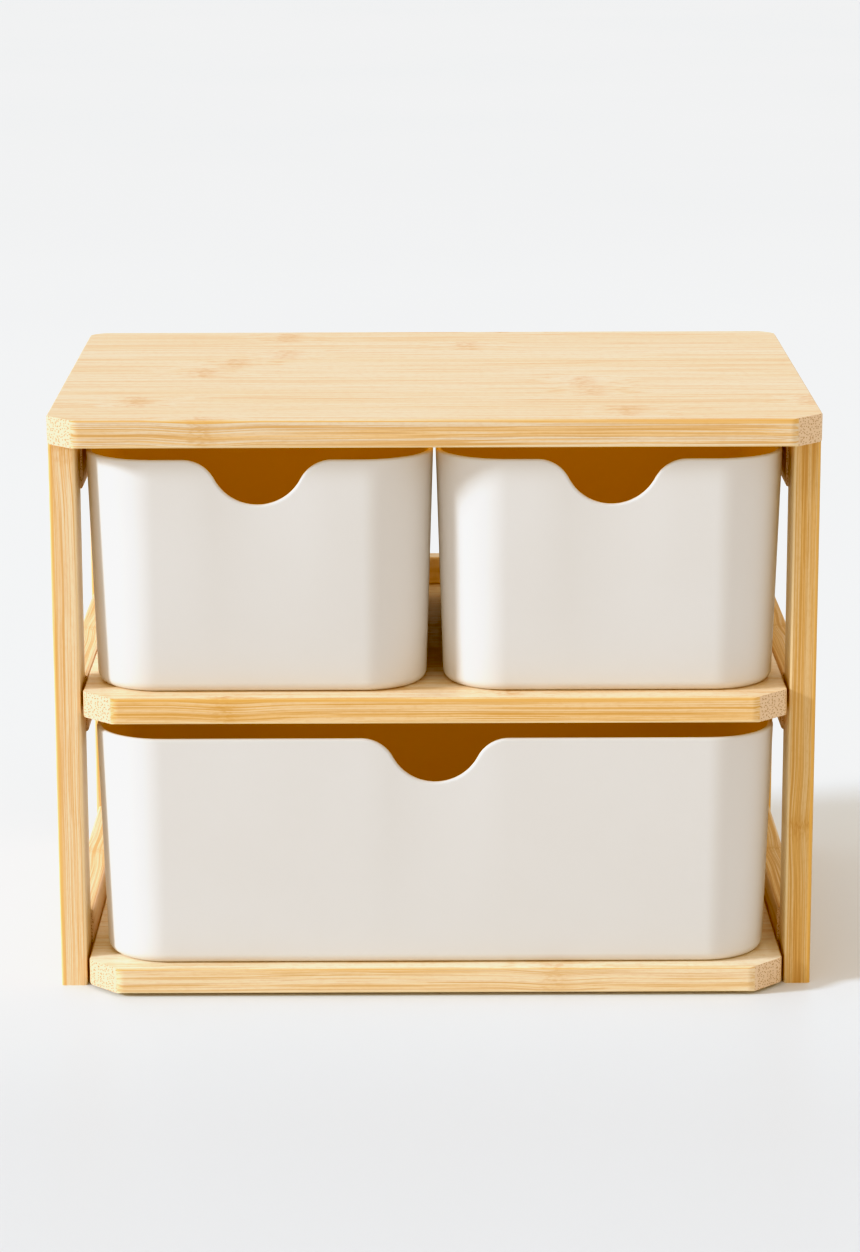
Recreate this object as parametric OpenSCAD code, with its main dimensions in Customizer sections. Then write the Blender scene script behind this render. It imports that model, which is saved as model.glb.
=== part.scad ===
// Desktop organiser: an open bamboo frame that holds two small drawers over one wide drawer.
// Millimetres, Z up. The origin is the middle of the footprint at table height, and the front faces -Y.

/* [Frame] */
// Overall width, across the top board
frame_w = 260; // [230:1:320]
// Overall depth, along the side of the top board
frame_d = 190; // [160:1:240]
// Width of the bamboo strip that the posts and rails are cut from
strip_w = 20; // [17:0.5:26]
// Thickness of that strip
strip_t = 9; // [8:0.5:12]
// Rounding along the long edges of posts, rails and stops
strip_round = 1; // [0.4:0.1:2]
// How far the side frames stand in from the ends of the top board
side_inset = 0; // [0:0.1:5]
// How far the top board stands out in front of the posts
front_overhang = 13; // [2:0.1:16]
// How far the top board stands out behind the posts
rear_overhang = 6; // [2:0.1:14]
// How far the rails stand in from the inner faces of the posts
rail_proud = 0.8; // [0:0.1:1]
// Clear height under the bottom board and rails, which hang between the feet of the posts
foot_room = 1.3; // [0.5:0.1:4]

/* [Boards] */
// Thickness of the top board
top_t = 9.5; // [8:0.5:14]
// Thickness of the middle shelf
shelf_t = 9; // [8:0.5:14]
// Thickness of the bottom board
base_t = 9; // [8:0.5:14]
// Width of the front corner clips on the top board, along each edge
top_clip = 9.6; // [3:0.1:16]
// Radius of the rear corners of the top board
top_round = 9; // [3:0.1:16]
// Width of the front corner clips on the shelf and the bottom board
shelf_clip = 10.8; // [3:0.1:16]
// Rounding where a clip meets the edges of its board
clip_round = 5; // [1:0.1:6]
// Chamfer that breaks the long edges of the boards
edge_ease = 0.5; // [0.2:0.1:1]
// Gap between a rail and the end of the shelf or the bottom board
shelf_end_gap = 0.2; // [0.1:0.1:0.8]
// Thickness of the stops behind the drawers
stop_t = 9; // [7:0.5:12]
// Height of those stops above their board
stop_h = 10.5; // [8:0.5:16]

/* [Drawers] */
// Height of each drawer
drawer_h = 80.8; // [50:0.1:120]
// Thickness of the moulded wall
wall_t = 2; // [1.2:0.1:3]
// Thickness of the moulded floor
floor_t = 2.2; // [1.2:0.1:4]
// Radius of the upright corners, outside at the rim
corner_r = 24; // [16:0.5:30]
// Draft of the walls, in degrees
draft = 1.8; // [0.5:0.1:3]
// Rounding under the outer edge of the floor
foot_round = 3.4; // [0.8:0.1:5]
// Rounding where the floor meets the inside of the wall
inner_round = 4; // [1:0.5:8]
// Clear height between the rim of an upper drawer and the top board
upper_head_room = 5; // [3:0.1:12]
// Clear height between the rim of the lower drawer and the shelf
lower_head_room = 5.9; // [3:0.1:12]
// Gap at the rim between an upper drawer and its side frame
upper_side_gap = 2.6; // [0.6:0.1:5]
// Gap at the rim between the two upper drawers
middle_gap = 0.8; // [0.5:0.1:5]
// Gap at the rim between the lower drawer and each side frame
lower_side_gap = 4.3; // [0.6:0.1:8]
// How far the rims of the upper drawers stand behind the front of the shelf
upper_setback = 5.2; // [1:0.1:16]
// How far the rim of the lower drawer stands behind the front of the bottom board
lower_setback = 2.2; // [1:0.1:16]
// Gap between a closed drawer and the stop behind it
stop_gap = 0.3; // [0.2:0.1:2]

/* [Finger notches] */
// Depth of a notch below the rim
notch_depth = 15.4; // [8:0.1:24]
// Radius of the hollow of a notch
notch_r = 16.2; // [13:0.1:20]
// Radius of the shoulders that lead from the rim into a notch
notch_shoulder_r = 12; // [6:0.1:16]

/* [Dowels] */
// Diameter of the wooden dowels in the joints
dowel_d = 4; // [3:0.5:5]
// Clearance round a dowel in its hole, on the radius
dowel_clear = 0.05; // [0.02:0.01:0.1]
// Room past each end of a dowel
dowel_end_room = 0.5; // [0.2:0.1:0.8]
// Distance between the two dowels in the end of a rail
dowel_pitch = 9; // [7:0.5:11]
// Depth of a rail dowel in the post
dowel_in_post = 7; // [5:0.5:8]
// Depth of a rail dowel in the end of the rail
dowel_in_rail = 13; // [8:0.5:16]
// Depth of a shelf or bottom board dowel in the thickness of a rail
dowel_in_side = 5.5; // [4:0.5:6.5]
// Depth of the same dowel in the end of the shelf or bottom board
dowel_in_shelf = 14.5; // [8:0.5:20]
// Depth of a top dowel in the side frame
dowel_in_frame = 14; // [8:0.5:18]
// Depth of the same dowel in the underside of the top board
dowel_in_top = 6; // [4:0.5:6.5]
// Depth of a stop dowel in the stop
dowel_in_stop = 6; // [4:0.5:6.5]
// Depth of the same dowel in its board
dowel_in_board = 5; // [3:0.5:6.5]
// Distance from the outer face of a post to the middle of its top dowel
post_dowel_inset = 6; // [4:0.5:7]
// Distance from one shelf dowel to the next along a rail
shelf_dowel_pitch = 42; // [20:1:44]
// Distance from one stop dowel to the next
stop_dowel_pitch = 84; // [40:1:90]

/* [Hidden] */
bamboo = [0.93, 0.79, 0.58];
bamboo_side = [0.87, 0.69, 0.45];
dowel_wood = [0.80, 0.66, 0.46];
white_plastic = [0.95, 0.94, 0.92];

// Heights, from the table up
base_top = foot_room + base_t;
shelf_bottom = base_top + drawer_h + lower_head_room;
shelf_top = shelf_bottom + shelf_t;
top_bottom = shelf_top + drawer_h + upper_head_room;

// Side frames: outer and inner faces of the posts, the middle of their thickness, and the rails
side_out = frame_w / 2 - side_inset;
side_in = side_out - strip_t;
side_mid = side_in + strip_t / 2;
rail_in = side_in - rail_proud;
rail_mid = rail_in + strip_t / 2;

// Depths, from the front to the back
board_front = -frame_d / 2;
board_rear = frame_d / 2;
post_front = board_front + front_overhang;
post_rear = board_rear - rear_overhang;
rail_front = post_front + strip_w;
rail_rear = post_rear - strip_w;
rail_middle = (rail_front + rail_rear) / 2;
stop_front = post_rear - stop_t;

// Underside of each rail: bottom, middle and top
middle_rail_z = shelf_top - strip_w;
top_rail_z = top_bottom - strip_w;
rail_undersides = [foot_room, middle_rail_z, top_rail_z];

// Height of the dowels in the ends of the bottom board and the shelf
base_dowel_z = foot_room + base_t / 2;
shelf_dowel_z = shelf_bottom + shelf_t / 2;

shelf_w = 2 * (rail_in - shelf_end_gap);

// Drawers: how much a wall leans out over the whole height, and the outer size at the rim
lean = drawer_h * tan(draft);
lean_at_stop = (drawer_h - stop_h) * tan(draft);
drawer_rear = stop_front - stop_gap + lean_at_stop;
upper_rim_w = side_in - upper_side_gap - middle_gap / 2;
upper_rim_x = middle_gap / 2 + upper_rim_w / 2;
upper_rim_front = board_front + upper_setback;
lower_rim_w = 2 * (side_in - lower_side_gap);
lower_rim_front = board_front + lower_setback;

// Steps along each quarter of a corner, and round each arc of the wall's section
corner_steps = 10;
section_steps = 4;
rim_steps = 6;
shoulder_steps = 7;
hollow_steps = 14;
round_fn = 48;

// ---- Dowels, and the places where they go -------------------------------------------------

// A dowel that reaches `below` down and `above` up from the joint face
module dowel(below, above) {
    nose = dowel_d / 8;
    color(dowel_wood)
    translate([0, 0, -below])
    rotate_extrude($fn = round_fn)
    polygon([
        [0, 0], [dowel_d / 2 - nose, 0], [dowel_d / 2, nose],
        [dowel_d / 2, below + above - nose], [dowel_d / 2 - nose, below + above], [0, below + above]
    ]);
}

// The hole for that dowel
module dowel_hole(below, above) {
    translate([0, 0, -below - dowel_end_room])
    cylinder(r = dowel_d / 2 + dowel_clear, h = below + above + 2 * dowel_end_room, $fn = round_fn);
}

// Two dowels in each end of every rail of one side frame; local +Z runs from the post into the rail
module at_rail_ends(side) {
    for (z = rail_undersides, half = [-1, 1])
        translate([side * side_mid, 0, z + strip_w / 2 + half * dowel_pitch / 2]) {
            translate([0, rail_front, 0]) rotate([-90, 0, 0]) children();
            translate([0, rail_rear, 0]) rotate([90, 0, 0]) children();
        }
}

// Three dowels along the end of a board at height z; local +Z runs from the rail into the board
module at_board_end(side, z) {
    for (step = [-1, 0, 1])
        translate([side * rail_in, rail_middle + step * shelf_dowel_pitch, z])
        rotate([0, -side * 90, 0])
        children();
}

// A dowel in the top of each post and of each top rail; local +Z runs up into the top board
module at_frame_top(side) {
    for (y = [post_front + post_dowel_inset, rail_middle, post_rear - post_dowel_inset])
        translate([side * side_mid, y, top_bottom])
        children();
}

// Three dowels under a stop; local +Z runs up from the board into the stop
module at_stop(z) {
    for (step = [-1, 0, 1])
        translate([step * stop_dowel_pitch, stop_front + stop_t / 2, z])
        children();
}

// ---- Boards -------------------------------------------------------------------------------

module eased_rectangle(a, b) {
    e = edge_ease;
    polygon([[e, 0], [a - e, 0], [a, e], [a, b - e], [a - e, b], [e, b], [0, b - e], [0, e]]);
}

// Outline of a board: clipped corners in front with rounded ends, and plain rounded corners behind
module board_outline(w, d, clip, round) {
    run = clip_round * tan(22.5);
    step = run * cos(45);
    polygon([
        [0, clip + run], [step, clip - step], [clip - step, step], [clip + run, 0],
        [w - clip - run, 0], [w - clip + step, step], [w - step, clip - step], [w, clip + run],
        [w, d - round], [0, d - round]
    ]);
    for (x = [clip + run, w - clip - run]) translate([x, clip_round]) circle(r = clip_round, $fn = round_fn);
    for (x = [clip_round, w - clip_round]) translate([x, clip + run]) circle(r = clip_round, $fn = round_fn);
    translate([round, d / 2]) square([w - 2 * round, d / 2]);
    for (x = [round, w - round]) translate([x, d - round]) circle(r = round, $fn = round_fn);
}

// A board of width w between two depths, with its long edges broken
module board(w, front, rear, t, clip, round) {
    d = rear - front;
    translate([-w / 2, front, 0])
    intersection() {
        linear_extrude(t) board_outline(w, d, clip, round);
        rotate([90, 0, 90]) linear_extrude(w) eased_rectangle(d, t);
        translate([0, d, 0]) rotate([90, 0, 0]) linear_extrude(d) eased_rectangle(w, t);
    }
}

module top_board() {
    color(bamboo)
    difference() {
        translate([0, 0, top_bottom])
        board(frame_w, board_front, board_rear, top_t, top_clip, top_round);
        for (side = [-1, 1]) at_frame_top(side) dowel_hole(dowel_in_frame, dowel_in_top);
    }
}

// The shelf and the bottom board: they reach from the front edge to the back of the rear posts
module cross_board(bottom, t) {
    color(bamboo)
    difference() {
        translate([0, 0, bottom])
        board(shelf_w, board_front, post_rear, t, shelf_clip, edge_ease);
        for (side = [-1, 1]) at_board_end(side, bottom + t / 2) dowel_hole(dowel_in_side, dowel_in_shelf);
        at_stop(bottom + t) dowel_hole(dowel_in_board, dowel_in_stop);
    }
}

// ---- Strips: posts, rails and stops ---------------------------------------------------------

// Section of a strip with rounded edges, centred
module strip_section(a, b) {
    square([a - 2 * strip_round, b], center = true);
    square([a, b - 2 * strip_round], center = true);
    for (x = [-1, 1], y = [-1, 1])
        translate([x * (a / 2 - strip_round), y * (b / 2 - strip_round)])
        circle(r = strip_round, $fn = round_fn);
}

module post(side, front) {
    color(bamboo_side)
    difference() {
        translate([side * side_mid, front + strip_w / 2, 0])
        linear_extrude(top_bottom)
        strip_section(strip_t, strip_w);
        at_rail_ends(side) dowel_hole(dowel_in_post, dowel_in_rail);
        at_frame_top(side) dowel_hole(dowel_in_frame, dowel_in_top);
    }
}

module rail_blank(side, underside) {
    translate([side * rail_mid, rail_rear, underside + strip_w / 2])
    rotate([90, 0, 0])
    linear_extrude(rail_rear - rail_front)
    strip_section(strip_t, strip_w);
}

module top_rail(side) {
    color(bamboo_side)
    difference() {
        rail_blank(side, top_rail_z);
        at_rail_ends(side) dowel_hole(dowel_in_post, dowel_in_rail);
        at_frame_top(side) dowel_hole(dowel_in_frame, dowel_in_top);
    }
}

// A rail that carries a board, whose dowels stand at height board_z
module bearing_rail(side, underside, board_z) {
    color(bamboo_side)
    difference() {
        rail_blank(side, underside);
        at_rail_ends(side) dowel_hole(dowel_in_post, dowel_in_rail);
        at_board_end(side, board_z) dowel_hole(dowel_in_side, dowel_in_shelf);
    }
}

// A stop that stands on a board, between the rear posts
module back_stop(z) {
    color(bamboo_side)
    difference() {
        translate([-shelf_w / 2, stop_front + stop_t / 2, z + stop_h / 2])
        rotate([90, 0, 90])
        linear_extrude(shelf_w)
        strip_section(stop_t, stop_h);
        at_stop(z) dowel_hole(dowel_in_board, dowel_in_stop);
    }
}

// ---- Drawers --------------------------------------------------------------------------------
// A drawer is one loft. Its stations run once round the plan, and at each station the same section
// of the wall is drawn: the rounded foot, the drafted outside, the full-round rim, the inside and
// the fillet to the floor. In the front wall the rim follows the finger notch, so the rounded lip
// runs on round the notch as it does on the moulding.

// Sideways distance from the middle of a notch to the middle of a shoulder's arc
function notch_reach() =
    sqrt(pow(notch_r + notch_shoulder_r, 2) - pow(notch_r + notch_shoulder_r - notch_depth, 2));

// Angle at which a shoulder's arc runs into the hollow
function notch_turn() = asin(notch_reach() / (notch_r + notch_shoulder_r));

// The lip across the front wall, left to right, as [x, drop below the rim, lean of the lip]
function shoulder_point(tilt) = [
    notch_shoulder_r * sin(tilt) - notch_reach(), notch_shoulder_r * (1 - cos(tilt)), tilt
];
function hollow_point(tilt) = [-notch_r * sin(tilt), notch_depth - notch_r * (1 - cos(tilt)), tilt];
function mirrored(point) = [-point[0], point[1], -point[2]];
function notch_line() = concat(
    [for (i = [0:shoulder_steps - 1]) shoulder_point(notch_turn() * i / shoulder_steps)],
    [for (i = [0:hollow_steps]) hollow_point(notch_turn() * (1 - 2 * i / hollow_steps))],
    [for (i = [shoulder_steps - 1:-1:0]) mirrored(shoulder_point(notch_turn() * i / shoulder_steps))]
);

// Stations of a drawer whose corner arcs are centred at (+-cx, +-cy): [x, y, facing, drop, lean]
function corner(x, y, first) =
    [for (i = [0:corner_steps]) [x, y, first + 90 * i / corner_steps, 0, 0]];
function stations(cx, cy) = concat(
    corner(-cx, -cy, 180),
    [for (p = notch_line()) [p[0], -cy, 270, p[1], p[2]]],
    corner(cx, -cy, 270),
    corner(cx, cy, 0),
    corner(-cx, cy, 90)
);

// A point of the wall at a station: `out` past the outer face, z up, and moved along the wall
function wall_point(station, out, z, along) =
    let (reach = corner_r - lean + z * tan(draft) + out)
    [station[0] + reach * cos(station[2]) + along, station[1] + reach * sin(station[2]), z];

// The rings of a drawer, from the outer edge of its foot up, over the rim and down to the floor
function foot_ring(line, turn) =
    [for (s = line) wall_point(s, foot_round * (sin(turn) - 1), foot_round * (1 - cos(turn)), 0)];
function rim_ring(line, turn) = [
    for (s = line)
        let (sunk = wall_t / 2 * (1 - sin(turn)))
        wall_point(s, wall_t / 2 * (cos(turn) - 1), drawer_h - s[3] - sunk * cos(s[4]), -sunk * sin(s[4]))
];
function fillet_ring(line, turn) = [
    for (s = line)
        wall_point(s, -wall_t - inner_round * (1 - cos(turn)), floor_t + inner_round * (1 - sin(turn)), 0)
];
function drawer_rings(line) = concat(
    [for (i = [0:section_steps]) foot_ring(line, 90 * i / section_steps)],
    [for (i = [0:rim_steps]) rim_ring(line, 180 * i / rim_steps)],
    [for (i = [0:section_steps]) fillet_ring(line, 90 * i / section_steps)]
);

// The moulded drawer, standing on z = 0 with the middle of its rim over the origin
module drawer(rim_w, rim_d) {
    line = stations(rim_w / 2 - corner_r, rim_d / 2 - corner_r);
    rings = drawer_rings(line);
    n = len(line);
    last = (len(rings) - 1) * n;
    skin = [
        for (k = [0:len(rings) - 2], i = [0:n - 1])
            let (j = (i + 1) % n, low = k * n, high = low + n)
            each [[low + i, high + i, high + j], [low + i, high + j, low + j]]
    ];
    underside = [[for (i = [0:n - 1]) i]];
    inner_floor = [[for (i = [n - 1:-1:0]) last + i]];
    color(white_plastic)
    polyhedron(points = [for (ring = rings) each ring], faces = concat(skin, underside, inner_floor));
}

// A drawer in its bay, between the front of its rim and the stop behind it
module placed_drawer(x, rim_w, rim_front, z) {
    translate([x, (rim_front + drawer_rear) / 2, z])
    drawer(rim_w, drawer_rear - rim_front);
}

// ---- Nodes ------------------------------------------------------------------------------------

top_board();
cross_board(shelf_bottom, shelf_t);  // middle_shelf
cross_board(foot_room, base_t);  // bottom_board

post(-1, post_front);  // left_front_post
post(-1, rail_rear);  // left_rear_post
post(1, post_front);  // right_front_post
post(1, rail_rear);  // right_rear_post

top_rail(-1);  // left_top_rail
bearing_rail(-1, middle_rail_z, shelf_dowel_z);  // left_middle_rail
bearing_rail(-1, foot_room, base_dowel_z);  // left_bottom_rail
top_rail(1);  // right_top_rail
bearing_rail(1, middle_rail_z, shelf_dowel_z);  // right_middle_rail
bearing_rail(1, foot_room, base_dowel_z);  // right_bottom_rail

back_stop(shelf_top);  // middle_back_stop
back_stop(base_top);  // bottom_back_stop

at_rail_ends(-1) dowel(dowel_in_post, dowel_in_rail);  // left_rail_dowels
at_rail_ends(1) dowel(dowel_in_post, dowel_in_rail);  // right_rail_dowels
for (side = [-1, 1]) at_frame_top(side) dowel(dowel_in_frame, dowel_in_top);  // top_board_dowels
at_board_end(-1, shelf_dowel_z) dowel(dowel_in_side, dowel_in_shelf);  // left_shelf_dowels
at_board_end(1, shelf_dowel_z) dowel(dowel_in_side, dowel_in_shelf);  // right_shelf_dowels
at_board_end(-1, base_dowel_z) dowel(dowel_in_side, dowel_in_shelf);  // left_base_dowels
at_board_end(1, base_dowel_z) dowel(dowel_in_side, dowel_in_shelf);  // right_base_dowels
at_stop(shelf_top) dowel(dowel_in_board, dowel_in_stop);  // middle_stop_dowels
at_stop(base_top) dowel(dowel_in_board, dowel_in_stop);  // bottom_stop_dowels

placed_drawer(-upper_rim_x, upper_rim_w, upper_rim_front, shelf_top);  // upper_left_drawer
placed_drawer(upper_rim_x, upper_rim_w, upper_rim_front, shelf_top);  // upper_right_drawer
placed_drawer(0, lower_rim_w, lower_rim_front, base_top);  // lower_drawer
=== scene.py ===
"""Looks of the desktop drawers: bamboo frame, white drawers, pale floor and soft studio light."""

import math
from collections import namedtuple

import bpy
from mathutils import Matrix, Vector


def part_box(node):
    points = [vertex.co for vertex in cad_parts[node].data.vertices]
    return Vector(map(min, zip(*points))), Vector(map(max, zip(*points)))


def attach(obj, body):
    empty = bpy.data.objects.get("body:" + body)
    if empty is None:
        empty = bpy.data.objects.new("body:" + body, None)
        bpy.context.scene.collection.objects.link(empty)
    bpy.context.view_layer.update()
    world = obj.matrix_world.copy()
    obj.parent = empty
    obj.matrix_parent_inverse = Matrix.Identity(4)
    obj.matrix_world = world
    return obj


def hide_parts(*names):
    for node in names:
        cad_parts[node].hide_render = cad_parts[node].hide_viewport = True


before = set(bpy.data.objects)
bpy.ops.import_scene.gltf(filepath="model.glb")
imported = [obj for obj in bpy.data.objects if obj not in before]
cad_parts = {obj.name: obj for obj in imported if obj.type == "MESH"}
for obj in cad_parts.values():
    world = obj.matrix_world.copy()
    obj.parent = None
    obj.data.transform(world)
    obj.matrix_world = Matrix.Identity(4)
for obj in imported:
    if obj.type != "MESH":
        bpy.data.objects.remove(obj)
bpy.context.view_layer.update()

MM = 0.001
X, Y, Z = 0, 1, 2


def add_to_scene(name, data):
    thing = bpy.data.objects.new(name, data)
    bpy.context.scene.collection.objects.link(thing)
    return thing


# ---------------------------------------------------------------- camera

# Place and clipping in metres, angles in radians, lens and sensor in millimetres
CAMERA_PLACE = (-0.00463, -1.31838, 0.41976)
CAMERA_PITCH = 0.231842
CAMERA_YAW = 0.00239152
CAMERA_ROLL = -0.00261427
CAMERA_LENS = 107.54
CAMERA_SENSOR = 36.0
CAMERA_CLIP = (0.05, 60.0)


def make_camera():
    data = bpy.data.cameras.new("camera")
    data.lens = CAMERA_LENS
    data.sensor_width = CAMERA_SENSOR
    data.sensor_fit = "AUTO"
    data.clip_start, data.clip_end = CAMERA_CLIP
    camera = add_to_scene("camera", data)
    pitch, yaw, roll = CAMERA_PITCH, CAMERA_YAW, CAMERA_ROLL
    look = Vector(
        (math.sin(yaw) * math.cos(pitch), math.cos(yaw) * math.cos(pitch), -math.sin(pitch))
    )
    level = Vector((math.cos(yaw), -math.sin(yaw), 0.0))
    upright = level.cross(look)
    right = math.cos(roll) * level + math.sin(roll) * upright
    up = -math.sin(roll) * level + math.cos(roll) * upright
    turn = Matrix((right, up, -look)).transposed()
    camera.matrix_world = Matrix.Translation(CAMERA_PLACE) @ turn.to_4x4()
    bpy.context.scene.camera = camera


# ---------------------------------------------------------------- node helpers


class Graph:
    """A material's node tree with short calls for the nodes used here."""

    def __init__(self, name):
        self.material = bpy.data.materials.new(name)
        self.material.use_nodes = True
        self.tree = self.material.node_tree
        self.tree.nodes.clear()
        out = self.tree.nodes.new("ShaderNodeOutputMaterial")
        self.shader = self.tree.nodes.new("ShaderNodeBsdfPrincipled")
        self.link(self.shader.outputs["BSDF"], out.inputs["Surface"])

    def link(self, source, target):
        self.tree.links.new(source, target)

    def put(self, value, target):
        """Set an input to a number or a colour, or link a node's output to it."""
        if isinstance(value, (int, float)):
            target.default_value = value
        elif isinstance(value, tuple):
            size = len(target.default_value)
            target.default_value = (value + (1.0,))[:size]
        else:
            self.link(value, target)

    def math(self, kind, a, b=None, clamp=False):
        node = self.tree.nodes.new("ShaderNodeMath")
        node.operation = kind
        node.use_clamp = clamp
        self.put(a, node.inputs[0])
        if b is not None:
            self.put(b, node.inputs[1])
        return node.outputs[0]

    def object_point(self):
        return self.tree.nodes.new("ShaderNodeTexCoord").outputs["Object"]

    def split(self, vector):
        node = self.tree.nodes.new("ShaderNodeSeparateXYZ")
        self.link(vector, node.inputs[0])
        return node.outputs

    def join(self, x, y, z):
        node = self.tree.nodes.new("ShaderNodeCombineXYZ")
        for value, target in zip((x, y, z), node.inputs):
            self.put(value, target)
        return node.outputs[0]

    def facing(self, axis):
        """How squarely the surface faces along an axis, 0 to 1."""
        normal = self.tree.nodes.new("ShaderNodeNewGeometry").outputs["True Normal"]
        return self.math("ABSOLUTE", self.split(normal)[axis])

    def noise(self, point, scale, detail, roughness):
        node = self.tree.nodes.new("ShaderNodeTexNoise")
        self.link(point, node.inputs["Vector"])
        node.inputs["Scale"].default_value = scale
        node.inputs["Detail"].default_value = detail
        node.inputs["Roughness"].default_value = roughness
        return node.outputs[0]

    def cells(self, point):
        """Distance to the nearest of a scatter of points in the plane, one in each unit square."""
        node = self.tree.nodes.new("ShaderNodeTexVoronoi")
        node.voronoi_dimensions = "2D"
        self.link(point, node.inputs["Vector"])
        node.inputs["Scale"].default_value = 1.0
        return node.outputs["Distance"]

    def draw(self, x, y, z):
        """A random number from 0 to 1, always the same for the same three values."""
        node = self.tree.nodes.new("ShaderNodeTexWhiteNoise")
        node.noise_dimensions = "3D"
        self.link(self.join(x, y, z), node.inputs["Vector"])
        return node.outputs["Value"]

    def centred(self, value, size):
        """A value of 0 to 1 as one of minus to plus half the size."""
        return self.math("MULTIPLY", self.math("SUBTRACT", value, 0.5), size)

    def band(self, value, low, high, out_low=0.0, out_high=1.0):
        """A smooth step from out_low to out_high, as the value goes from low to high."""
        node = self.tree.nodes.new("ShaderNodeMapRange")
        node.interpolation_type = "SMOOTHSTEP"
        for name, number in zip(
            ("Value", "From Min", "From Max", "To Min", "To Max"),
            (value, low, high, out_low, out_high),
        ):
            self.put(number, node.inputs[name])
        return node.outputs[0]

    def fade(self, value, low, high, most=1.0):
        """A smooth step down from most to nothing, as the value goes from low to high."""
        return self.band(value, low, high, most, 0.0)

    def mix(self, share, a, b):
        """A share of colour b over colour a. Sockets 6, 7 and 2 are the node's colour ones."""
        node = self.tree.nodes.new("ShaderNodeMix")
        node.data_type = "RGBA"
        node.clamp_factor = True
        self.put(share, node.inputs[0])
        self.put(a, node.inputs[6])
        self.put(b, node.inputs[7])
        return node.outputs[2]

    def surface(self, colour, roughness, ior, specular):
        """Sets the shader, where only colour and roughness are nodes, and gives the material."""
        self.put(colour, self.shader.inputs["Base Color"])
        self.put(roughness, self.shader.inputs["Roughness"])
        self.shader.inputs["IOR"].default_value = ior
        self.shader.inputs["Specular IOR Level"].default_value = specular
        return self.material

    def bump(self, height, distance, strength):
        node = self.tree.nodes.new("ShaderNodeBump")
        node.inputs["Strength"].default_value = strength
        node.inputs["Distance"].default_value = distance
        self.link(height, node.inputs["Height"])
        self.link(node.outputs[0], self.shader.inputs["Normal"])


# ---------------------------------------------------------------- bamboo

# A noise whose steps are millimetres along the fibres, across them and through the board
Pattern = namedtuple("Pattern", "steps detail roughness")
BROAD = Pattern((260.0, 9.0, 1.5), 3.0, 0.6)
FINE = Pattern((110.0, 2.4, 0.55), 2.0, 0.6)
HAIR = Pattern((170.0, 1.3, 0.34), 1.0, 0.5)
SPECK = Pattern((2.6, 1.6, 0.55), 2.0, 0.5)
WANDER = Pattern((120.0, 30.0, 30.0), 2.0, 0.5)

# What one unit of the seed moves a piece's pattern: steps along, millimetres across and through
SEED_ALONG = 3.7
SEED_ACROSS = 13.7
SEED_THROUGH = 7.1

# These keep the hair lines apart from the other patterns, and a strip's two draws from each other
HAIR_SEED = 0.5
STRIP_TONE_DRAW = 0.5
STRIP_PLACE_DRAW = 7.5

# Sizes in millimetres
STRIP_WIDTH = 20.0
BUNDLE_PITCH = 0.85
STRAY_ACROSS = 8.0
STRAY_THROUGH = 2.4
KNUCKLE_PITCH = 230.0
KNUCKLE_HALF = 7.5
KNUCKLE_FUZZ = 7.0
SWELL_REACH = 3.0 * KNUCKLE_HALF
SWELL = 0.9
SCAR_FUZZ = 11.0
BUMP = 0.06
BUMP_STRENGTH = 0.5

# Bands of a value: its low and high ends and then, where they aren't 0 and 1, what those two give
EDGE_GOLD = (0.46, 0.53)
THREAD = (0.55, 0.59)
THREAD_IN_BROAD = (0.42, 0.55, 0.35, 1.0)
HAIR_LINE = (0.54, 0.62, 0.0, 0.65)
FLAT_GOLD = (0.40, 0.60, -0.1, 0.8)
FLAT_LINE = (0.55, 0.66, 0.0, 0.30)
GRIT = (0.46, 0.66, 0.0, 0.16)
KNUCKLE_MARK = (0.38, 0.62, 0.15, 0.5)
ARRIS_WIDTH = (0.35, 0.65, 0.8, 2.0)
ARRIS_START = (0.25, 0.45)
FLAT_FACING = (0.6, 0.9)
END_FACING = (0.45, 0.62)
BAMBOO_ROUGHNESS = (0.3, 0.7, 0.36, 0.50)

# Fades outwards from the middle of a mark: where each starts and ends, and the share before it.
# The golden arris is in widths of its own, the dots in bundle pitches, the rest in millimetres.
SCAR = (0.2, 0.8, 0.55)
GOLDEN_ARRIS = (0.55, 1.0)
PALE_ARRIS = (0.35, 1.0, 0.6)
DOT = (0.08, 0.36, 0.9)

# How strongly the threads and the golden arris show
THREAD_SHARE = 0.75
ARRIS_SHARE = 0.75

# What a strip's own tone adds to the gold of the flat side, and what is then taken off
STRIP_SHARE = 0.45
FLAT_PALER = 0.1

BAMBOO_IOR = 1.5
BAMBOO_SPECULAR = 0.5

ARRIS_GOLD = (0.84, 0.47, 0.15)
ARRIS_PALE = (0.96, 0.77, 0.50)
END_GRAIN = (0.83, 0.60, 0.42)
END_DOT = (0.44, 0.24, 0.10)

# Colours of one kind of bamboo piece: its flat side, its layered edge and the lines in both
Tones = namedtuple("Tones", "flat flat_gold edge edge_gold line")


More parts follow.
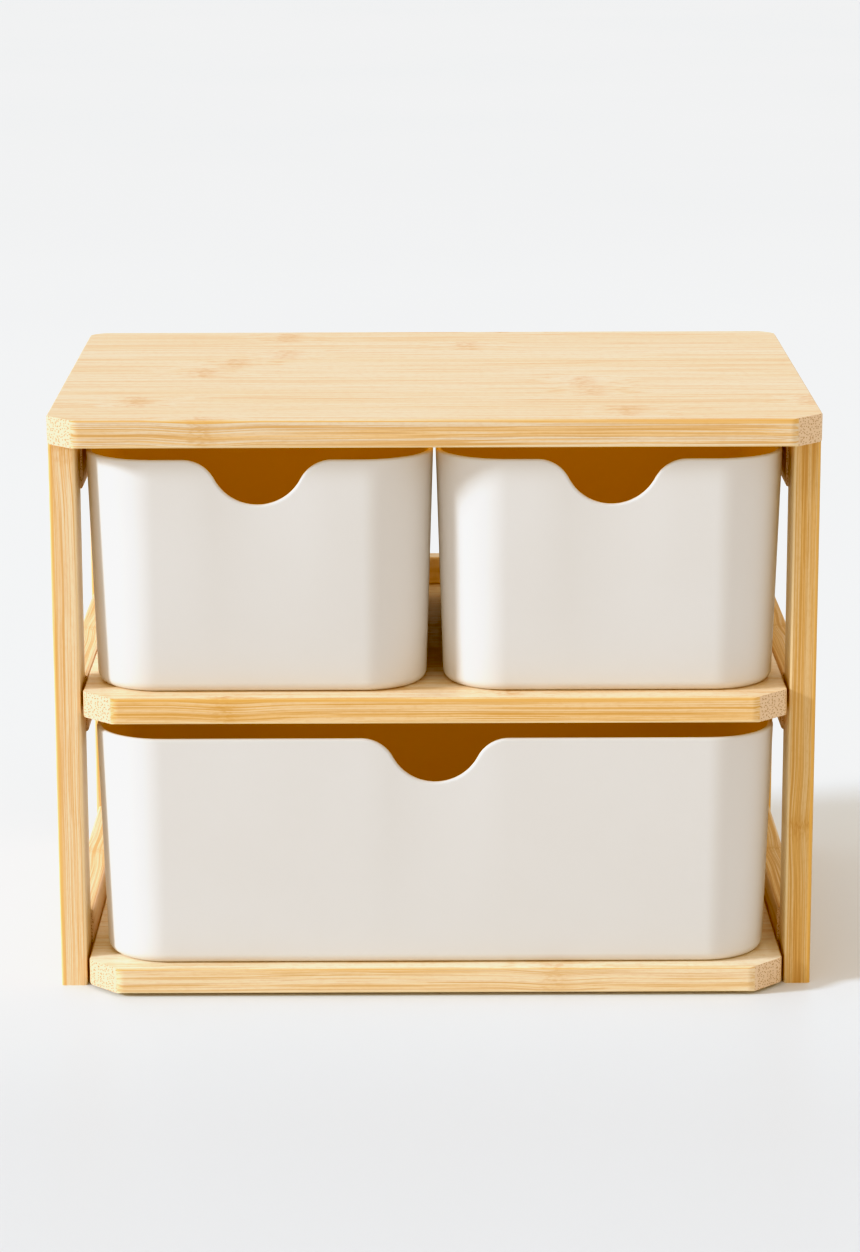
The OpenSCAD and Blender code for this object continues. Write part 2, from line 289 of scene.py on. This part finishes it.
class Bamboo(Graph):
    """The patterns of one piece: fibres along the axis grain, flat sides across the axis flat."""

    def __init__(self, name, grain, flat, tones, seed, knuckle_at):
        super().__init__(name)
        self.tones, self.seed, self.knuckle_at = tones, seed, knuckle_at
        self.mm = [self.math("MULTIPLY", v, 1 / MM) for v in self.split(self.object_point())]
        side = X + Y + Z - grain - flat
        self.along = self.mm[grain]
        self.across = self.math("ADD", self.mm[side], SEED_ACROSS * seed)
        self.through = self.math("ADD", self.mm[flat], SEED_THROUGH * seed)
        straight = (self.along, self.across, self.through)
        self.strip = self.math("FLOOR", self.math("DIVIDE", self.across, STRIP_WIDTH))
        self.speck = self.pattern(straight, SPECK)
        self.from_knuckle = self.distance_from_knuckle()

        wander = self.pattern(straight, WANDER)
        wavy_across = self.math("ADD", self.across, self.centred(wander, STRAY_ACROSS))
        wavy_through = self.math("ADD", self.through, self.centred(wander, STRAY_THROUGH))
        swell = self.fade(self.math("ABSOLUTE", self.from_knuckle), 0.0, SWELL_REACH, SWELL)
        wavy = (self.along, wavy_across, self.math("ADD", wavy_through, swell))
        self.broad = self.pattern(wavy, BROAD)
        self.fine = self.pattern(wavy, FINE)
        self.hair = self.pattern(wavy, HAIR, HAIR_SEED)
        halves = [self.math("MULTIPLY", value, 0.5) for value in (self.broad, self.fine)]
        self.tone = self.math("ADD", *halves)

    def pattern(self, point, pattern, more_seed=0.0):
        """A pattern's noise at the point, moved on along the fibres by the seed."""
        along, across, through = [
            self.math("DIVIDE", value, step) for value, step in zip(point, pattern.steps)
        ]
        moved = self.math("ADD", along, (self.seed + more_seed) * SEED_ALONG)
        place = self.join(moved, across, through)
        return self.noise(place, 1.0, pattern.detail, pattern.roughness)

    def distance_from_knuckle(self):
        """Millimetres along the fibres from the nearest knuckle.

        They lie a KNUCKLE_PITCH apart, from knuckle_at or from a place of each strip's own.
        """
        start = 0.5 if self.knuckle_at is None else 0.5 - self.knuckle_at / KNUCKLE_PITCH
        place = self.math("ADD", self.math("DIVIDE", self.along, KNUCKLE_PITCH), start)
        if self.knuckle_at is None:
            place = self.math("ADD", place, self.draw(self.strip, self.seed, STRIP_PLACE_DRAW))
        return self.centred(self.math("FRACT", place), KNUCKLE_PITCH)

    def edge_colour(self):
        """The edge shows the layers: pale and golden bands with dark threads and hair lines."""
        gold = self.band(self.tone, *EDGE_GOLD)
        colour = self.mix(gold, self.tones.edge, self.tones.edge_gold)
        in_broad = self.band(self.broad, *THREAD_IN_BROAD)
        thread = self.math("MULTIPLY", self.band(self.fine, *THREAD), in_broad)
        colour = self.mix(self.math("MULTIPLY", thread, THREAD_SHARE), colour, self.tones.line)
        return self.mix(self.band(self.hair, *HAIR_LINE), colour, self.tones.line)

    def flat_colour(self):
        """The flat side shows the strips, each with a tone of its own, and soft lines."""
        strip_tone = self.draw(self.strip, self.seed, STRIP_TONE_DRAW)
        gold = self.math("MULTIPLY", strip_tone, STRIP_SHARE)
        gold = self.math("ADD", gold, self.band(self.tone, *FLAT_GOLD))
        gold = self.math("SUBTRACT", gold, FLAT_PALER, clamp=True)
        colour = self.mix(gold, self.tones.flat, self.tones.flat_gold)
        return self.mix(self.band(self.fine, *FLAT_LINE), colour, self.tones.line)

    def with_knuckles(self, colour):
        """Adds each knuckle's speckled patch, and a thin scar where the knuckle has a set place."""
        fuzzy = self.math("ADD", self.from_knuckle, self.centred(self.speck, KNUCKLE_FUZZ))
        patch = self.fade(self.math("ABSOLUTE", fuzzy), 0.0, KNUCKLE_HALF)
        mark = self.math("MULTIPLY", patch, self.band(self.speck, *KNUCKLE_MARK))
        colour = self.mix(mark, colour, self.tones.line)
        if self.knuckle_at is None:
            return colour
        ragged = self.math("ADD", self.from_knuckle, self.centred(self.fine, SCAR_FUZZ))
        return self.mix(self.fade(self.math("ABSOLUTE", ragged), *SCAR), colour, self.tones.line)

    def with_arrises(self, colour, axis, golden_at, pale_at):
        """Adds a golden line by one edge of the board or strip, and a pale one along the other."""
        golden, pale = [
            self.math("ABSOLUTE", self.math("SUBTRACT", self.mm[axis], at))
            for at in (golden_at, pale_at)
        ]
        width = self.band(self.broad, *ARRIS_WIDTH)
        line = self.fade(self.math("DIVIDE", golden, width), *GOLDEN_ARRIS)
        line = self.math("MULTIPLY", line, self.band(golden, *ARRIS_START))
        colour = self.mix(self.math("MULTIPLY", line, ARRIS_SHARE), colour, ARRIS_GOLD)
        return self.mix(self.fade(pale, *PALE_ARRIS), colour, ARRIS_PALE)

    def end_colour(self):
        """End grain shows the dark dots of the fibre bundles."""
        place = [self.math("DIVIDE", v, BUNDLE_PITCH) for v in (self.across, self.through)]
        return self.mix(self.fade(self.cells(self.join(*place, 0.0)), *DOT), END_GRAIN, END_DOT)


def bamboo(name, grain, flat, tones, seed, knuckle_at=None, arrises=None):
    """Laminated bamboo. arrises has the places of the golden and the pale line on the axis flat."""
    g = Bamboo(name, grain, flat, tones, seed, knuckle_at)
    colour = g.mix(g.band(g.facing(flat), *FLAT_FACING), g.edge_colour(), g.flat_colour())
    colour = g.mix(g.band(g.speck, *GRIT), colour, tones.line)
    colour = g.with_knuckles(colour)
    if arrises:
        colour = g.with_arrises(colour, flat, *arrises)
    colour = g.mix(g.band(g.facing(grain), *END_FACING), colour, g.end_colour())
    g.bump(g.fine, BUMP * MM, BUMP_STRENGTH)
    return g.surface(colour, g.band(g.fine, *BAMBOO_ROUGHNESS), BAMBOO_IOR, BAMBOO_SPECULAR)


# ---------------------------------------------------------------- plastic and floor

# Scale, detail and roughness of a noise over metres
PLASTIC_CLOUDS = (14.0, 3.0, 0.5)
PLASTIC_GRAIN = (2600.0, 2.0, 0.6)
FLOOR_CLOUDS = (1.3, 2.0, 0.5)

# Bands of those noises
PLASTIC_CLOUD = (0.3, 0.7)
PLASTIC_ROUGHNESS = (0.3, 0.7, 0.40, 0.48)
FLOOR_CLOUD = (0.3, 0.7, 0.0, 0.25)
FLOOR_ROUGHNESS = (0.3, 0.7, 0.40, 0.46)

# The floor is palest round the object, a painted pool of light that also lifts the shadow there:
# bands of the depth in metres, in front and behind
FRONT_OF_OBJECT = (-0.24, -0.04)
BEHIND_OBJECT = (0.6, 2.5, 1.0, 0.6)

# Bumps here and above are in millimetres
PLASTIC_PALE = (0.768, 0.739, 0.712)
PLASTIC_DEEP = (0.754, 0.723, 0.694)
PLASTIC_IOR = 1.47
PLASTIC_SPECULAR = 0.5
PLASTIC_BUMP = 0.02
PLASTIC_BUMP_STRENGTH = 0.35

FLOOR_FAR = (0.745, 0.763, 0.785)
# The painted pool of light round the object, brighter and cooler than the far floor
FLOOR_PAINTED_POOL = (0.842, 0.878, 0.910)
FLOOR_DEEP = (0.731, 0.754, 0.781)
FLOOR_IOR = 1.5
FLOOR_SPECULAR = 0.15


def plastic():
    """White moulded plastic, hardly clouded, with the fine grain of its mould."""
    g = Graph("white_plastic")
    point = g.object_point()
    cloud = g.noise(point, *PLASTIC_CLOUDS)
    grain = g.noise(point, *PLASTIC_GRAIN)
    colour = g.mix(g.band(cloud, *PLASTIC_CLOUD), PLASTIC_PALE, PLASTIC_DEEP)
    g.bump(grain, PLASTIC_BUMP * MM, PLASTIC_BUMP_STRENGTH)
    return g.surface(colour, g.band(grain, *PLASTIC_ROUGHNESS), PLASTIC_IOR, PLASTIC_SPECULAR)


def floor_material():
    """A plain pale surface, with a painted pool of brighter, cooler light round the object."""
    g = Graph("pale_floor")
    point = g.object_point()
    cloud = g.noise(point, *FLOOR_CLOUDS)
    depth = g.split(point)[Y]
    # Where the painted pool of light lies
    painted_pool = g.math("MULTIPLY", g.band(depth, *FRONT_OF_OBJECT), g.band(depth, *BEHIND_OBJECT))
    colour = g.mix(painted_pool, FLOOR_FAR, FLOOR_PAINTED_POOL)
    colour = g.mix(g.band(cloud, *FLOOR_CLOUD), colour, FLOOR_DEEP)
    return g.surface(colour, g.band(cloud, *FLOOR_ROUGHNESS), FLOOR_IOR, FLOOR_SPECULAR)


# ---------------------------------------------------------------- drawers

# Sizes in millimetres, as in part.scad. A rim is its width and the place of its front.
DRAWER_H = 80.8
WALL_T = 2.0
FLOOR_T = 2.2
CORNER_R = 24.0
DRAFT = math.radians(1.8)
FOOT_ROUND = 3.4
INNER_ROUND = 4.0
NOTCH_DEPTH = 15.4
NOTCH_R = 16.2
NOTCH_SHOULDER_R = 12.0
SHELF_TOP = 106.0
BASE_TOP = 10.3
DRAWER_REAR = 81.91
UPPER_RIM = (118.0, -89.8)
LOWER_RIM = (233.4, -92.8)
UPPER_X = 59.4

CORNER_STEPS = 28
SECTION_STEPS = 8
RIM_STEPS = 12
SHOULDER_STEPS = 14
HOLLOW_STEPS = 28

# One place on the way round the drawer: the centre that its wall turns on, the direction that it
# faces, and how far the finger notch lowers and tilts its rim
Station = namedtuple("Station", "x y outward drop tilt")


def spread(low, high, steps):
    return [low + (high - low) * i / steps for i in range(steps + 1)]


def notch_line():
    """Points x, drop and tilt of the finger notch, from its left shoulder to its right one."""
    both = NOTCH_R + NOTCH_SHOULDER_R
    reach = math.sqrt(both**2 - (both - NOTCH_DEPTH) ** 2)
    turn = math.asin(reach / both)
    left = [
        (NOTCH_SHOULDER_R * math.sin(a) - reach, NOTCH_SHOULDER_R * (1 - math.cos(a)), a)
        for a in spread(0.0, turn, SHOULDER_STEPS)
    ]
    hollow = [
        (-NOTCH_R * math.sin(a), NOTCH_DEPTH - NOTCH_R * (1 - math.cos(a)), a)
        for a in spread(turn, -turn, HOLLOW_STEPS)[1:-1]
    ]
    right = [(-x, drop, -a) for x, drop, a in reversed(left)]
    return left + hollow + right


def stations(half_w, half_d):
    """The stations round a drawer, from its left side by its front, where the notch is."""
    cx, cy = half_w - CORNER_R, half_d - CORNER_R
    quarter = math.pi / 2
    left, front = math.pi, 3 * quarter
    found = []
    for x, y, start in ((-cx, -cy, left), (cx, -cy, front), (cx, cy, 0.0), (-cx, cy, quarter)):
        turns = spread(start, start + quarter, CORNER_STEPS)
        found += [Station(x, y, a, 0.0, 0.0) for a in turns]
        if start == left:
            found += [Station(nx, -cy, front, drop, tilt) for nx, drop, tilt in notch_line()]
    return found


def wall_point(station, z, out, along=0.0):
    """A point at a height, out from the drafted outer wall, and moved along x."""
    reach = CORNER_R - (DRAWER_H - z) * math.tan(DRAFT) + out
    x = station.x + reach * math.cos(station.outward) + along
    return (x, station.y + reach * math.sin(station.outward), z)


def rim_point(station, turn):
    """A point on the round rim, which leans with the notch."""
    sunk, out = WALL_T / 2 * (1 - math.sin(turn)), WALL_T / 2 * (math.cos(turn) - 1)
    z = DRAWER_H - station.drop - sunk * math.cos(station.tilt)
    return wall_point(station, z, out, -sunk * math.sin(station.tilt))


def drawer_rings(places):
    """The rings of one drawer's skin: foot, outer wall, rim, inner wall and inner foot."""
    rings = []
    for a in spread(0.0, math.pi / 2, SECTION_STEPS):
        z, out = FOOT_ROUND * (1 - math.cos(a)), FOOT_ROUND * (math.sin(a) - 1)
        rings.append([wall_point(s, z, out) for s in places])
    for a in spread(0.0, math.pi, RIM_STEPS):
        rings.append([rim_point(s, a) for s in places])
    for a in spread(0.0, math.pi / 2, SECTION_STEPS):
        z = FLOOR_T + INNER_ROUND * (1 - math.sin(a))
        out = -WALL_T - INNER_ROUND * (1 - math.cos(a))
        rings.append([wall_point(s, z, out) for s in places])
    return rings


def skin_faces(ring_count, n):
    """Faces over rings of n points: the underside, quads from ring to ring, and the floor."""
    faces = [tuple(reversed(range(n)))]
    last = (ring_count - 1) * n
    for low in range(0, last, n):
        for i in range(n):
            j = (i + 1) % n
            faces.append((low + i, low + j, low + n + j, low + n + i))
    faces.append(tuple(range(last, last + n)))
    return faces


def make_drawer(name, rim, centre_x, bottom, material):
    """One drawer's shell, which stands for the CAD node of the same name and rides on its body."""
    rim_w, rim_front = rim
    depth = DRAWER_REAR - rim_front
    rings = drawer_rings(stations(rim_w / 2, depth / 2))
    shift = Vector((centre_x, (rim_front + DRAWER_REAR) / 2, bottom))
    points = [(Vector(p) + shift) * MM for ring in rings for p in ring]
    mesh = bpy.data.meshes.new(name + "_shell")
    mesh.from_pydata(points, [], skin_faces(len(rings), len(rings[0])))
    mesh.validate()
    mesh.polygons.foreach_set("use_smooth", [len(p.vertices) == 4 for p in mesh.polygons])
    mesh.materials.append(material)
    piece = add_to_scene(name + "_shell", mesh)
    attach(piece, name)
    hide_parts(name)


# ---------------------------------------------------------------- stage and light

# Half the floor's side, in metres
FLOOR_HALF = 20.0

# A pale surround
WORLD_LIGHT = 0.83
WORLD_COLOUR = (1.0, 0.963, 0.91)

# One soft sun from the left, the front and above
KEY_TRAVEL = (1.0, 0.25, -0.44)
KEY_STRENGTH = 2.49
KEY_ANGLE = math.radians(9.0)
KEY_COLOUR = (1.0, 1.08, 1.16)

# Warm light that fills the closed drawers, as the bamboo over them does in the photograph. Places
# and sizes in metres, powers in watts.
GLOW_COLOUR = (1.0, 0.41, 0.0)
GLOW_SIZE = (0.224, 0.140)
GLOW_Y = -0.004
GLOW_DROP = 0.0005
TOP_UNDERSIDE = 0.1918
SHELF_UNDERSIDE = 0.0970
UPPER_GLOW = 0.045
LOWER_GLOW = 0.030


def make_floor():
    h = FLOOR_HALF
    mesh = bpy.data.meshes.new("floor")
    mesh.from_pydata([(-h, -h, 0), (h, -h, 0), (h, h, 0), (-h, h, 0)], [], [(0, 1, 2, 3)])
    mesh.materials.append(floor_material())
    add_to_scene("floor", mesh)


def make_key_light():
    data = bpy.data.lights.new("key_light", "SUN")
    data.energy = KEY_STRENGTH
    data.angle = KEY_ANGLE
    data.color = KEY_COLOUR
    light = add_to_scene("key_light", data)
    light.rotation_mode = "QUATERNION"
    light.rotation_quaternion = Vector(KEY_TRAVEL).to_track_quat("-Z", "Y")


def make_glow(name, underside, power):
    """A dim lamp that shines down from the underside of a board into what is below it."""
    data = bpy.data.lights.new(name, "AREA")
    data.shape = "RECTANGLE"
    data.size, data.size_y = GLOW_SIZE
    data.energy = power
    data.color = GLOW_COLOUR
    light = add_to_scene(name, data)
    light.location = (0.0, GLOW_Y, underside - GLOW_DROP)
    light.visible_camera = False


def make_world():
    world = bpy.data.worlds.new("studio")
    world.use_nodes = True
    back = world.node_tree.nodes["Background"]
    back.inputs["Color"].default_value = (*WORLD_COLOUR, 1.0)
    back.inputs["Strength"].default_value = WORLD_LIGHT
    bpy.context.scene.world = world


# ---------------------------------------------------------------- the frame's bamboo

TOP_TONES = Tones(
    flat=(0.86, 0.68, 0.51),
    flat_gold=(0.83, 0.62, 0.41),
    edge=(0.84, 0.68, 0.50),
    edge_gold=(0.86, 0.57, 0.30),
    line=(0.66, 0.36, 0.14),
)
SHELF_TONES = Tones(
    flat=(1.00, 0.80, 0.59),
    flat_gold=(0.98, 0.74, 0.50),
    edge=(0.90, 0.63, 0.37),
    edge_gold=(0.87, 0.55, 0.26),
    line=(0.66, 0.33, 0.09),
)
BASE_TONES = Tones(
    flat=(1.00, 0.85, 0.66),
    flat_gold=(0.98, 0.80, 0.57),
    edge=(0.91, 0.70, 0.48),
    edge_gold=(0.89, 0.64, 0.38),
    line=(0.70, 0.41, 0.18),
)
LEFT_TONES = Tones(
    flat=(0.88, 0.62, 0.45),
    flat_gold=(0.86, 0.56, 0.36),
    edge=(0.91, 0.70, 0.47),
    edge_gold=(0.89, 0.59, 0.33),
    line=(0.76, 0.42, 0.18),
)
# The right-hand pieces are darker and deeper: partly their own tone, partly painted shade for the
# side away from the light
RIGHT_TONES_WITH_PAINTED_SHADE = Tones(
    flat=(0.78, 0.53, 0.30),
    flat_gold=(0.73, 0.45, 0.22),
    edge=(0.76, 0.51, 0.27),
    edge_gold=(0.73, 0.43, 0.18),
    line=(0.54, 0.26, 0.07),
)
# The stops are brighter and more orange than the other bamboo: painted light for the shade behind
# the drawers where they stand
STOP_TONES_WITH_PAINTED_LIGHT = Tones(
    flat=(1.00, 0.68, 0.38),
    flat_gold=(0.98, 0.62, 0.30),
    edge=(0.91, 0.70, 0.47),
    edge_gold=(0.89, 0.59, 0.33),
    line=(0.78, 0.44, 0.19),
)
DOWEL_TONES = Tones(
    flat=(0.80, 0.60, 0.36),
    flat_gold=(0.74, 0.50, 0.26),
    edge=(0.80, 0.60, 0.36),
    edge_gold=(0.74, 0.50, 0.26),
    line=(0.56, 0.32, 0.12),
)
BOARDS = {"top_board": TOP_TONES, "middle_shelf": SHELF_TONES, "bottom_board": BASE_TONES}

# Places of knuckles in millimetres: heights on the posts, and depth on the rails
LEFT_KNUCKLE = 190.0
RIGHT_KNUCKLE = 57.0
RAIL_KNUCKLE = 10.0


def frame_material(name, seed):
    """The bamboo of the frame's CAD node of that name."""
    title = "bamboo_" + name
    low, high = [[value / MM for value in corner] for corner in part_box(name)]
    on_right = name.startswith("right")
    # Right-hand pieces take the darker tones, which are partly painted shade
    tones = RIGHT_TONES_WITH_PAINTED_SHADE if on_right else LEFT_TONES
    if name.endswith("dowels"):
        return bamboo(title, X, Z, DOWEL_TONES, seed)
    if name in BOARDS:
        return bamboo(title, X, Z, BOARDS[name], seed, arrises=(high[Z], low[Z]))
    if name.endswith("rail"):
        return bamboo(title, Y, X, tones, seed, RAIL_KNUCKLE)
    if name.endswith("post"):
        outer, inner, knuckle = low[X], high[X], LEFT_KNUCKLE
        if on_right:
            outer, inner, knuckle = high[X], low[X], RIGHT_KNUCKLE
        return bamboo(title, Z, X, tones, seed, knuckle, arrises=(outer, inner))
    # The stops, with their painted light
    return bamboo(title, X, Y, STOP_TONES_WITH_PAINTED_LIGHT, seed)


def dress_frame():
    """Gives each node of the frame a bamboo of its own, seeded by its place among the names."""
    for index, (name, node) in enumerate(sorted(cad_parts.items())):
        if not name.endswith("drawer"):
            node.data.materials.clear()
            node.data.materials.append(frame_material(name, float(index + 1)))


# ---------------------------------------------------------------- the scene

# Points of the tone curves: the brightest tones roll off, and darker ones turn warm
ROLL_OFF = ((0.0, 0.0), (0.88, 0.88), (1.0, 0.93), (1.3, 0.955), (2.0, 0.965))
GREEN_CURVE = (
    (0.0, 0.0),
    (0.04, 0.014),
    (0.15, 0.11),
    (0.35, 0.31),
    (0.62, 0.588),
    (0.85, 0.845),
    (1.0, 1.0),
)
BLUE_CURVE = (
    (0.0, 0.0),
    (0.04, 0.0),
    (0.15, 0.07),
    (0.35, 0.265),
    (0.62, 0.555),
    (0.85, 0.848),
    (1.0, 1.0),
)

# Their places in the view's curve mapping
GREEN, BLUE, COMBINED = 1, 2, 3


def grade(view):
    """Sets the tone curves. Each starts with two end points: the last moves, and the rest go in."""
    view.use_curve_mapping = True
    mapping = view.curve_mapping
    mapping.use_clip = False
    for index, points in ((GREEN, GREEN_CURVE), (BLUE, BLUE_CURVE), (COMBINED, ROLL_OFF)):
        curve = mapping.curves[index]
        curve.points[1].location = points[-1]
        for x, y in points[1:-1]:
            curve.points.new(x, y)
        for point in curve.points:
            point.handle_type = "VECTOR"
    mapping.update()


def main():
    view = bpy.context.scene.view_settings
    view.view_transform = "Standard"
    grade(view)
    make_camera()
    make_world()
    make_floor()
    make_key_light()
    make_glow("upper_glow", TOP_UNDERSIDE, UPPER_GLOW)
    make_glow("lower_glow", SHELF_UNDERSIDE, LOWER_GLOW)
    dress_frame()
    white = plastic()
    make_drawer("upper_left_drawer", UPPER_RIM, -UPPER_X, SHELF_TOP, white)
    make_drawer("upper_right_drawer", UPPER_RIM, UPPER_X, SHELF_TOP, white)
    make_drawer("lower_drawer", LOWER_RIM, 0.0, BASE_TOP, white)


main()
